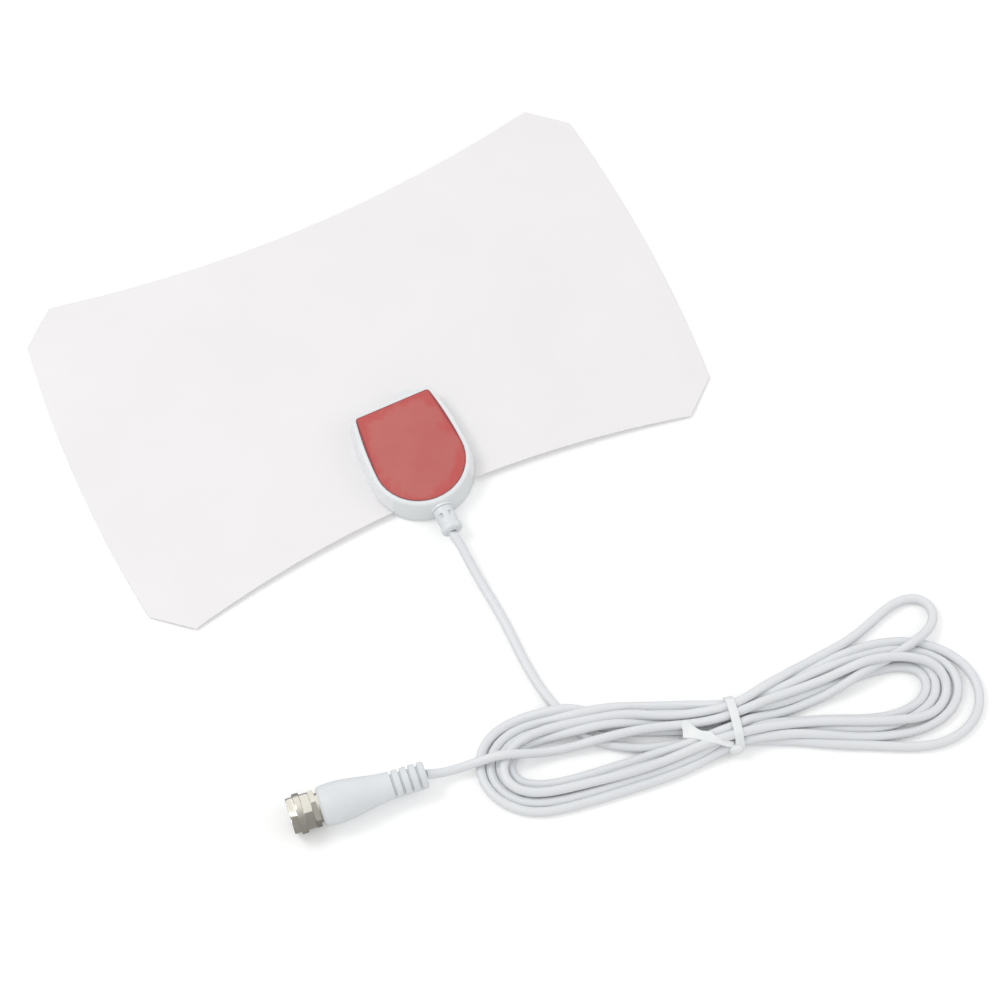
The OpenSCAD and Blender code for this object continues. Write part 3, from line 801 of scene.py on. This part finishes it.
@dataclass
class FeedCord:
    """The antenna's coaxial cord: from the strain relief, six turns in a tied hank, to the plug.

    Attributes:
        diameter: Outer diameter, in metres.
        waist: Middle of the tie, in millimetres.
        waist_yaw: Direction of the strands through the tie, in degrees.
        step: Distance between the points that settle, in millimetres.
        cuts: Points that the curve gets between two points of the route.
        climb_share: How much of a climb counts as length, as it goes when the cord settles.
        settling: How it settles.
        lead: Points from the strain relief to the tie, in millimetres.
        to_plug: Points from the tie to the plug.
        turns: The turns of the hank.
        settled: Points of the settled cord, in millimetres, once it is laid.
    """

    diameter: float = 0.003
    waist: tuple[float, float] = (52.0, -170.0)
    waist_yaw: float = -14.0
    step: float = 2.5
    cuts: int = 24
    climb_share: float = 0.15
    settling: Settling = Settling()
    lead: Sequence[Point] = (
        (0, -71.1, 5.25), (0, -75.5, 4.7), (0.2, -83, 3), (1, -92, 1.6), (2.5, -104, 1.5), (2, -117, 1.5),
        (2.5, -127, 1.5), (4.5, -142, 1.5), (9, -151.5, 1.5), (16.5, -159.3, 1.5), (25, -165, 1.5),
        (37, -168.6, 1.5),
    )
    to_plug: Sequence[Point] = (
        (43, -165, 20), (34, -161.6, 20), (23, -158.1, 20), (11, -155.4, 19), (-2, -152.9, 18),
        (-13, -150.6, 16), (-22.5, -147, 10), (-32, -145.5, 7), (-38, -145, 6.7), (-42.23, -144.37, 6.65),
    )
    turns: Sequence[Turn] = (
        Turn((-1.5, 1.9), [
            (76, -182), (90, -188.5), (101, -191.5), (109, -190.5), (114.5, -186.5), (116.5, -181),
            (114, -175.5), (108, -171.5), (99, -169.2), (86, -167.5), (72, -167),
        ], (1.8, 1.9), [
            (30, -159), (14, -152), (2, -147.6), (-8, -145.6), (-15.2, -147.2), (-20.2, -151),
            (-20.8, -157), (-17.4, -161.7), (-10, -164.8), (1, -167), (14, -169), (30, -171),
        ], 1.5),
        Turn((-4.4, 1.9), [
            (74, -184), (88, -192.8), (97, -198.2), (107, -202), (117, -201.6), (124, -197),
            (127.5, -190), (126.8, -182), (122.5, -174), (114, -167.3), (104, -164), (93, -163),
            (79, -163.4),
        ], (5.4, 1.9), [
            (32, -154.6), (15, -147.2), (1, -141.8), (-8.5, -138.9), (-16.3, -138.9), (-22.6, -142.2),
            (-25.6, -149), (-25.4, -157), (-21.5, -163.5), (-14, -168.4), (-2, -172), (12, -174),
            (28, -174.8),
        ], 3.5),
        Turn((-5.8, 4.5), [
            (75, -183.5), (88, -190), (98, -194), (108, -195.5), (116.5, -193.3), (121.8, -188.3),
            (122.8, -182), (119.5, -175.3), (112, -169.5), (102, -166.4), (91, -165), (78, -164.8),
        ], (7.2, 4.7), [
            (32, -154), (16, -147.6), (4, -143.6), (-6, -141.4), (-14, -141.8), (-20.4, -145.8),
            (-23, -152), (-21.6, -158.5), (-16, -163.8), (-7, -167.6), (4, -170.3), (18, -172.2),
            (32, -173.5),
        ], 6.5),
        Turn((-3.0, 4.5), [
            (74, -178.5), (86, -183.5), (96, -186.5), (104.5, -187.2), (111.4, -185), (114.8, -179.6),
            (112, -173.8), (103.5, -171.4), (93, -170.4), (80, -168.6),
        ], (4.0, 4.7), [
            (32, -158.3), (18, -152.6), (6, -148.4), (-3, -146.4), (-11, -147), (-16.4, -150.2),
            (-17.8, -155), (-15, -159.9), (-9, -162.5), (0, -164.2), (10, -165.5), (22, -167), (34, -169),
        ], 9.5),
        Turn((-1.2, 7.0), [
            (72, -172), (84, -171), (96, -170.4), (106, -170.2), (114, -169.5), (121.5, -167.2),
            (126.6, -162.2), (126, -156.6), (120.5, -153.8), (112.5, -155.2), (99, -159), (86, -161.3),
            (73, -162.6),
        ], (5.6, 7.2), [
            (32, -157), (18, -151.6), (5, -147.6), (-5, -145.4), (-13, -146.2), (-18.8, -150.2),
            (-20.4, -156), (-17.2, -161.2), (-10, -164.2), (1, -166.9), (15, -169.4), (30, -171.6),
        ], 12.5),
        Turn((-4.0, 7.0), [
            (72, -179), (86, -185), (98, -189.5), (108, -191.5), (115.5, -190), (119.3, -185.5),
            (118.5, -180), (113.5, -175), (106, -171.5), (96, -169), (84, -168), (72, -167),
        ], (2.6, 7.2), [], 15.5),
    )
    settled: np.ndarray | None = None

    def in_tie(self, place: tuple[float, float]) -> Point:
        """Point at which a strand goes through the tie.

        Args:
            place: How far across the tie and above the floor, in millimetres.

        Returns:
            The point, in millimetres.
        """
        turn = math.radians(self.waist_yaw)
        across, height = place
        return (self.waist[0] - across * math.sin(turn), self.waist[1] + across * math.cos(turn), height)

    def places_in_tie(self) -> list[tuple[float, float]]:
        """Where the strands go through the tie: across it and above the floor, in millimetres."""
        return [place for turn in self.turns for place in (turn.near, turn.far)]

    def laid_route(self) -> tuple[np.ndarray, np.ndarray]:
        """Joins lead, turns and plug end into one route.

        Returns:
            The route's points in millimetres, and which of them the tie or an end holds.
        """
        points: list[Point] = list(self.lead)
        held = [True] + [False] * (len(points) - 1)
        for turn in self.turns:
            for place, bend in ((turn.near, turn.right), (turn.far, turn.left)):
                points.append(self.in_tie(place))
                points += [(x, y, turn.lift) for x, y in bend]
                held += [True] + [False] * len(bend)
        points += list(self.to_plug)
        held += [False] * (len(self.to_plug) - 1) + [True]
        return np.array(points, float), np.array(held)

    def smooth(self, points: np.ndarray, held: np.ndarray) -> tuple[np.ndarray, np.ndarray, float]:
        """Curve through a route's points, cut into even steps.

        Args:
            points: The route.
            held: Which points are held.

        Returns:
            The evenly spaced points, which of them are held, and the distance between them once settled.
        """
        ends = np.vstack([2 * points[0] - points[1], points, 2 * points[-1] - points[-2]])
        t = np.linspace(0, 1, self.cuts, endpoint=False)[:, None]
        spans = []
        for i in range(len(points) - 1):
            a, b, c, d = ends[i:i + 4]
            gaps = [max(np.linalg.norm((q - p)[:2]), 1e-6) ** 0.5 for p, q in ((a, b), (b, c), (c, d))]
            out = (b - a) / gaps[0] - (c - a) / (gaps[0] + gaps[1]) + (c - b) / gaps[1]
            back = (c - b) / gaps[1] - (d - b) / (gaps[1] + gaps[2]) + (d - c) / gaps[2]
            m0, m1 = out * gaps[1], back * gaps[1]
            spans.append((2 * t**3 - 3 * t**2 + 1) * b + (t**3 - 2 * t**2 + t) * m0
                         + (3 * t**2 - 2 * t**3) * c + (t**3 - t**2) * m1)
        line = np.vstack([*spans, points[-1:]])
        along = way_along(line * (1.0, 1.0, self.climb_share))
        count = int(round(along[-1] / self.step))
        at = np.linspace(0, along[-1], count + 1)
        even = np.stack([np.interp(at, along, line[:, k]) for k in range(3)], axis=1)
        keep = np.zeros(count + 1, bool)
        for mark, place in zip(np.nonzero(held)[0] * self.cuts, points[held]):
            nearest = int(round(along[mark] / along[-1] * count))
            keep[nearest] = True
            even[nearest] = place
        return even, keep, along[-1] / count

    def settle(self, line: np.ndarray, held: np.ndarray, rest: float) -> np.ndarray:
        """Lets the laid cord sink until its strands lie on the floor and on each other.

        Args:
            line: Evenly spaced points of the laid cord, in millimetres.
            held: Points that don't move.
            rest: Distance between neighbouring points when the cord isn't stretched.

        Returns:
            The settled points.
        """
        way = self.settling
        thick = self.diameter / MM
        wanted, now = line.copy(), line.copy()
        index = np.arange(len(now))
        far_enough = int(math.ceil(way.apart * thick / rest))
        first = second = index[:0]
        for count in range(way.rounds):
            calm = int(count >= way.rounds * way.calm_from)
            if count % way.search_every == 0:
                apart = np.linalg.norm(now[:, None] - now[None], axis=2)
                near = (apart < way.near * thick) & (np.abs(index[:, None] - index[None]) > far_enough)
                first, second = np.nonzero(np.triu(near))
            now[:, 2] -= way.sink[calm]
            now[:, :2] += way.hold * (wanted[:, :2] - now[:, :2])
            for _ in range(way.bend_passes):
                bend = now[:-2] - 2 * now[1:-1] + now[2:]
                now[2:-2] -= way.stiffness * (bend[:-2] - 2 * bend[1:-1] + bend[2:])
            for _ in range(way.contact_passes[calm]):
                gap = now[second] - now[first]
                reach = np.maximum(np.linalg.norm(gap, axis=1), 1e-6)
                push = (np.maximum(thick - reach, 0) / reach * way.push)[:, None] * gap
                np.add.at(now, first, -push)
                np.add.at(now, second, push)
                span = now[1:] - now[:-1]
                length = np.linalg.norm(span, axis=1)
                pull = ((length - rest) / length * way.pull)[:, None] * span
                now[:-1] += pull
                now[1:] -= pull
                now[:, 2] = np.maximum(now[:, 2], thick / 2)
                now[held] = wanted[held]
        return now

    def lay(self) -> None:
        """Lays the cord down and lets it settle."""
        self.settled = self.settle(*self.smooth(*self.laid_route()))

    def build(self, wardrobe: Wardrobe) -> bpy.types.Object:
        """Args:
            wardrobe: The finishes.

        Returns:
            The cord.
        """
        settled = self.settled
        curve = bpy.data.curves.new("feed_cord", "CURVE")
        curve.dimensions = "3D"
        curve.bevel_depth = self.diameter / 2
        curve.bevel_resolution = 5
        curve.use_fill_caps = True
        curve.resolution_u = 4
        points = settled[::2] if len(settled) % 2 else np.vstack([settled[:-1:2], settled[-1:]])
        spline = curve.splines.new("BEZIER")
        spline.bezier_points.add(len(points) - 1)
        for knot, place in zip(spline.bezier_points, points):
            knot.co = Vector(place) * MM
            knot.handle_left_type = knot.handle_right_type = "AUTO"
        cord = bpy.data.objects.new("feed_cord", curve)
        bpy.context.scene.collection.objects.link(cord)
        wardrobe.dress(cord, Slot.CORD)
        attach(cord, "antenna")
        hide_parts("lead_cord", "cord_hank", "plug_cord")
        return cord


@dataclass
class CouplingNut:
    """Plated nut of the plug: a chamfered hexagon with a round collar, bored and threaded.

    Attributes:
        front: Middle of its front face, in metres.
        yaw: Direction of its axis, from front to back, in degrees.
        turn: Turn of the hexagon round the axis, in degrees.
        flats: Distance between opposite flats, in millimetres.
        length: Length along the axis.
        chamfer: How far the hexagon's corners are rounded off at both ends.
        corner_trim: How far the corners are taken down.
        collar: Start, end and radius of the round collar.
        collar_round: Rounding of the collar's edges.
        bore: Radius and depth of the threaded bore.
        neck: Radius of the hole in the lip behind the bore.
        run_past: How far the cutting solids run past what they cut.
        edge: Bevel of all other edges.
        sides: Sides of its round solids outside, and of its holes.
        pitch: Distance between the thread's turns.
        thread_start: Where the thread starts along the axis.
        thread_free: Length of the bore without thread.
        thread_profile: Corners of the ridge: out from the bore's wall, and along the axis.
        thread_steps: Steps in one turn of the thread, and steps over which its ends fade.
    """

    front: Point = (-0.086, -0.139, 0.00665)
    yaw: float = -7.0
    turn: float = -5.0
    flats: float = 11.0
    length: float = 7.1
    chamfer: float = 0.5
    corner_trim: float = 0.02
    collar: tuple[float, float, float] = (2.1, 4.4, 6.45)
    collar_round: float = 0.4
    bore: tuple[float, float] = (4.35, 5.1)
    neck: float = 3.38
    run_past: float = 1.0
    edge: float = 0.16
    sides: tuple[int, int] = (96, 64)
    pitch: float = 0.794
    thread_start: float = 0.8
    thread_free: float = 1.4
    thread_profile: Sequence[tuple[float, float]] = (
        (0.12, -0.36), (0.12, 0.36), (-0.28, 0.06), (-0.28, -0.06),
    )
    thread_steps: tuple[int, int] = (40, 12)

    @staticmethod
    def _solid(radius: float, start: float, end: float, sides: int,
               round_off: float = 0.0) -> bpy.types.Object:
        """Adds a prism along the nut's axis, which is the vertical while it is made.

        Args:
            radius: Radius over its corners, in millimetres.
            start: Where it starts along the axis.
            end: Where it ends.
            sides: Number of sides.
            round_off: How far its end edges are rounded off.

        Returns:
            The prism.
        """
        bpy.ops.mesh.primitive_cylinder_add(vertices=sides, radius=radius * MM, depth=(end - start) * MM,
                                            location=(0, 0, (start + end) / 2 * MM))
        solid = bpy.context.object
        if round_off:
            work(solid, "BEVEL", width=round_off * MM, segments=3, angle_limit=math.radians(60))
        return solid

    @staticmethod
    def _combine(first: bpy.types.Object, second: bpy.types.Object, way: str) -> None:
        """Joins, cuts or crosses two solids; the second one goes.

        Args:
            first: The solid that stays.
            second: The other solid.
            way: How they meet: UNION, DIFFERENCE or INTERSECT.
        """
        work(first, "BOOLEAN", operation=way, object=second, solver="EXACT")
        pick(second)
        bpy.ops.object.delete()

    def _thread(self) -> bpy.types.Object:
        """Ridge that winds round the bore.

        Returns:
            The ridge.
        """
        steps, fade_steps = self.thread_steps
        count = int(steps * ((self.bore[1] - self.thread_free) / self.pitch))
        corners = len(self.thread_profile)
        spots, faces = [], []
        for i in range(count + 1):
            angle = 2 * math.pi * i / steps
            rise = self.thread_start + self.pitch * i / steps
            fade = min(1.0, i / fade_steps, (count - i) / fade_steps)
            for out, up in self.thread_profile:
                radius = self.bore[0] + (out if out > 0 else out * fade)
                spots.append((radius * math.cos(angle) * MM, radius * math.sin(angle) * MM,
                              (rise + up) * MM))
        for i in range(0, corners * count, corners):
            for k in range(corners):
                after = (k + 1) % corners
                faces.append((i + k, i + after, i + corners + after, i + corners + k))
        faces += [tuple(reversed(range(corners))), tuple(corners * count + k for k in range(corners))]
        return mesh_object("nut_thread", spots, faces)

    def build(self, wardrobe: Wardrobe) -> bpy.types.Object:
        """Args:
            wardrobe: The finishes.

        Returns:
            The nut.
        """
        outer, inner = self.sides
        past = self.run_past
        corner = self.flats / 2 / math.cos(math.radians(30))
        nut = self._solid(corner, 0.0, self.length, 6)
        put(nut, (0, 0, math.radians(self.turn)))
        rounded = self._solid(corner - self.corner_trim, 0.0, self.length, outer, self.chamfer)
        self._combine(nut, rounded, "INTERSECT")
        start, end, radius = self.collar
        self._combine(nut, self._solid(radius, start, end, outer, self.collar_round), "UNION")
        radius, depth = self.bore
        self._combine(nut, self._solid(radius, -past, depth, inner), "DIFFERENCE")
        self._combine(nut, self._solid(self.neck, past, self.length + past, inner), "DIFFERENCE")
        work(nut, "BEVEL", width=self.edge * MM, segments=2, angle_limit=math.radians(24))
        pick(nut, self._thread())
        bpy.ops.object.join()
        nut.name = "spin_nut"
        put(nut, (0, math.pi / 2, 0))
        put(nut, (0, 0, math.radians(self.yaw)), self.front)
        face_outwards(nut)
        bpy.ops.object.shade_smooth_by_angle(angle=math.radians(32))
        wardrobe.dress(nut, Slot.NICKEL)
        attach(nut, "nut")
        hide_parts("coupling_nut")
        log.info("spin_nut: %d faces", len(nut.data.polygons))
        return nut


@dataclass
class BundleTie:
    """Short plastic tie round the waist of the hank: a band, the bead of its knot and a fish-tail end.

    Attributes:
        cord: The cord whose strands it holds.
        width: Width of the band, in millimetres.
        thick: Thickness of the band and of the tail.
        tightness: How far the band presses into the outer strands.
        lean: How far the band leans along the strands, at three places across them.
        band_rows: Points round the band, and points over its width.
        far_edge: Far edge of the tail from the knot to its tip: along and across the strands.
        near_edge: Near edge of the tail, from the knot to its tip.
        end_edge: End of the tail, from the far edge to the near one.
        edge_height: Height at which the tail's edges lie as they are given.
        shift: How far the tail lies across the strands for each millimetre that it lies lower.
        tail_rows: Points along the tail, and points across it.
        drape_rounds: How often the tail is laid on the strands again.
        ease_passes: Passes that even out the tail's height each time.
        root_rows: Rows at the knot that hang down to it.
        root_fall: How far each of these rows lies below the next.
        first_height: Height from which the tail is first laid.
        end_bend: How sharply the tail takes on the shape of its end.
        bead_size: Half sizes of the knot's bead: along, across and up.
        bead_place: Middle of the bead.
        bead_power: How boxy the bead is: 1 is round.
    """

    cord: FeedCord
    width: float = 2.7
    thick: float = 0.8
    tightness: float = 0.05
    lean: tuple[Point, Point] = ((-9, 0, 9), (0.35, 0.45, -0.15))
    band_rows: tuple[int, int] = (72, 4)
    far_edge: Sequence[tuple[float, float]] = (
        (-1.6, -7.6), (-3, -7.2), (-4.6, -6.1), (-6.4, -5), (-7.9, -2.8), (-10.6, -2.1), (-11.8, -1.1),
        (-12.9, 0.3), (-14, 1.9), (-15, 2.4),
    )
    near_edge: Sequence[tuple[float, float]] = (
        (-1.8, -9.8), (-3.9, -8.9), (-6.8, -7.1), (-9.7, -6), (-13, -4.4), (-16.7, -3.5),
    )
    end_edge: Sequence[tuple[float, float]] = (
        (-15, 2.4), (-15.8, 1.9), (-16.3, 0.1), (-16.2, -1.4), (-16.7, -3.5),
    )
    edge_height: float = 9.3
    shift: float = 0.487
    tail_rows: tuple[int, int] = (28, 9)
    drape_rounds: int = 4
    ease_passes: int = 30
    root_rows: int = 4
    root_fall: float = 0.35
    first_height: float = 6.0
    end_bend: int = 6
    bead_size: Point = (2.2, 1.4, 2.4)
    bead_place: Point = (-1.0, -7.8, 3.6)
    bead_power: float = 0.75

    def to_world(self, points: np.ndarray) -> np.ndarray:
        """Turns points of the tie's own frame, along and across the strands, into the antenna's.

        Args:
            points: Points in millimetres.

        Returns:
            The same points in metres.
        """
        turn = math.radians(self.cord.waist_yaw)
        cos, sin = math.cos(turn), math.sin(turn)
        x = self.cord.waist[0] + points[:, 0] * cos - points[:, 1] * sin
        y = self.cord.waist[1] + points[:, 0] * sin + points[:, 1] * cos
        return np.stack([x, y, points[:, 2]], axis=1) * MM

    def _outline(self, reach: float, floor: float) -> np.ndarray:
        """Outline round all the strands in the tie.

        Args:
            reach: Distance from the middles of the outer strands to the outline.
            floor: Lowest height of the outline.

        Returns:
            Across and height of each point.
        """
        middles = np.array(self.cord.places_in_tie())
        angles = np.linspace(0, 2 * math.pi, self.band_rows[0], endpoint=False)
        ways = np.stack([np.cos(angles), np.sin(angles)], axis=1)
        far = (middles @ ways.T).max(axis=0) + reach
        slope = (np.roll(far, -1) - np.roll(far, 1)) / (2 * angles[1])
        points = ways * far[:, None] + np.stack([-ways[:, 1], ways[:, 0]], axis=1) * slope[:, None]
        points[:, 1] = np.maximum(points[:, 1], floor)
        return points

    def _sheet(self, name: str, grid: np.ndarray, ring: bool) -> bpy.types.Object:
        """Makes a grid of points into a sheet of the tie's thickness, with rounded edges.

        Args:
            name: Name of the new object.
            grid: Rows and columns of points in the tie's frame.
            ring: Whether the last row joins the first.

        Returns:
            The sheet.
        """
        rows, columns = grid.shape[:2]
        faces = []
        for r in range(rows if ring else rows - 1):
            here, after = r * columns, (r + 1) % rows * columns
            faces += [(here + c, after + c, after + c + 1, here + c + 1) for c in range(columns - 1)]
        sheet = mesh_object(name, self.to_world(grid.reshape(-1, 3)).tolist(), faces)
        work(sheet, "SOLIDIFY", thickness=self.thick * MM, offset=0.0, use_even_offset=True)
        work(sheet, "BEVEL", width=self.thick * 0.3 * MM, segments=2, angle_limit=math.radians(50))
        bpy.ops.object.shade_smooth_by_angle(angle=math.radians(55))
        return sheet

    def _band(self) -> bpy.types.Object:
        """Band round the waist.

        Returns:
            The band.
        """
        reach = self.cord.diameter / MM / 2 + self.thick / 2 - self.tightness
        outline = self._outline(reach, self.thick / 2)
        columns = self.band_rows[1]
        across = np.linspace(-self.width / 2, self.width / 2, columns)
        lean = np.interp(outline[:, 0], *self.lean)
        grid = np.stack([np.broadcast_to(across, (len(outline), columns)) + lean[:, None],
                         np.repeat(outline[:, :1], columns, axis=1),
                         np.repeat(outline[:, 1:], columns, axis=1)], axis=2)
        return self._sheet("tie_band", grid, True)

    def _tops(self, points: np.ndarray) -> np.ndarray:
        """Height of the strands' tops under points of the tie's frame.

        Args:
            points: Along and across, in millimetres.

        Returns:
            A height for each point.
        """
        strands = self.cord.settled
        steps = strands[1:] - strands[:-1]
        dense = np.concatenate([strands[:-1] + steps * part for part in (0.0, 0.33, 0.67)])
        flat = np.concatenate([points, np.zeros((len(points), 1))], axis=1)
        world = self.to_world(flat)[:, :2] / MM
        radius = self.cord.diameter / MM / 2
        apart = np.linalg.norm(world[:, None] - dense[None, :, :2], axis=2)
        top = dense[None, :, 2] + np.sqrt(np.maximum(radius**2 - apart**2, 0.0))
        return np.where(apart < radius, top, 0.0).max(axis=1)

    def _shifted(self, flat: np.ndarray, height: np.ndarray) -> np.ndarray:
        """Points of the tail, moved across the strands by how high they lie.

        Args:
            flat: Along and across each point at the height of the edges, in millimetres.
            height: Height of each point.

        Returns:
            Along and across each point at its own height.
        """
        moved = flat.copy()
        moved[:, :, 1] += (self.edge_height - height) * self.shift
        return moved

    def _tail(self) -> bpy.types.Object:
        """Fish-tail end that lies on the strands.

        Returns:
            The tail.
        """

        def along(edge: Sequence[tuple[float, float]], at: np.ndarray) -> np.ndarray:
            """Points at given parts of an edge's length.

            Args:
                edge: The edge's own points.
                at: The parts, 0 to 1.

            Returns:
                The points.
            """
            line = np.array(edge, float)
            reach = way_along(line)
            return np.stack([np.interp(at * reach[-1], reach, line[:, k]) for k in range(2)], axis=1)

        rows, columns = self.tail_rows
        part, v = np.linspace(0, 1, rows), np.linspace(0, 1, columns)
        far, near = along(self.far_edge, part), along(self.near_edge, part)
        flat = far[:, None] * (1 - v)[None, :, None] + near[:, None] * v[None, :, None]
        bulge = along(self.end_edge, v) - (far[-1] * (1 - v)[:, None] + near[-1] * v[:, None])
        flat += (part ** self.end_bend)[:, None, None] * bulge[None]
        root = self.root_rows
        height = np.full((rows, columns), self.first_height)
        for _ in range(self.drape_rounds):
            height = self._tops(self._shifted(flat, height).reshape(-1, 2)).reshape(rows, columns)
            height = np.maximum(height, height.mean(axis=1, keepdims=True))
            for _ in range(self.ease_passes):
                wide = np.pad(height, 1, mode="edge")
                mean = (wide[:-2, 1:-1] + wide[2:, 1:-1] + wide[1:-1, :-2] + wide[1:-1, 2:]) / 4
                height = np.maximum(mean, height * 0.5 + mean * 0.5)
            height[:root] = height[root][None] + (np.arange(root) - root)[:, None] * self.root_fall
        height = height + self.thick / 2
        grid = np.concatenate([self._shifted(flat, height), height[:, :, None]], axis=2)
        log.info("tie tail: %.1f to %.1f mm high", height.min(), height.max())
        return self._sheet("tie_tail", grid, False)

    def _bead(self) -> bpy.types.Object:
        """Rounded knot on the near side.

        Returns:
            The bead.
        """
        bpy.ops.mesh.primitive_uv_sphere_add(segments=32, ring_count=20, radius=1.0)
        bead = bpy.context.object
        bead.name = "tie_bead"
        spots = np.array([vertex.co[:] for vertex in bead.data.vertices])
        boxy = np.sign(spots) * np.abs(spots) ** self.bead_power
        for vertex, place in zip(bead.data.vertices, self.to_world(boxy * self.bead_size + self.bead_place)):
            vertex.co = Vector(place)
        bpy.ops.object.shade_smooth()
        return bead

    def build(self, wardrobe: Wardrobe) -> bpy.types.Object:
        """Args:
            wardrobe: The finishes.

        Returns:
            The tie.
        """
        pick(self._band(), self._tail(), self._bead())
        bpy.ops.object.join()
        tie = bpy.context.object
        tie.name = "bundle_tie"
        face_outwards(tie)
        wardrobe.dress(tie, Slot.TIE)
        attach(tie, "antenna")
        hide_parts("cord_tie")
        log.info("bundle_tie: %d faces", len(tie.data.polygons))
        return tie


def main() -> None:
    """Builds the dressed antenna in order."""
    logging.basicConfig(level=logging.INFO, format="%(message)s")
    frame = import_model()
    bpy.ops.object.select_all(action="DESELECT")
    Studio().set_up()
    wardrobe = Wardrobe(Effects())
    wardrobe.dress_frame(frame)
    cord = FeedCord()
    cord.lay()
    BundleTie(cord).build(wardrobe)
    CouplingNut().build(wardrobe)
    cord.build(wardrobe)


if __name__ == "__main__":
    main()
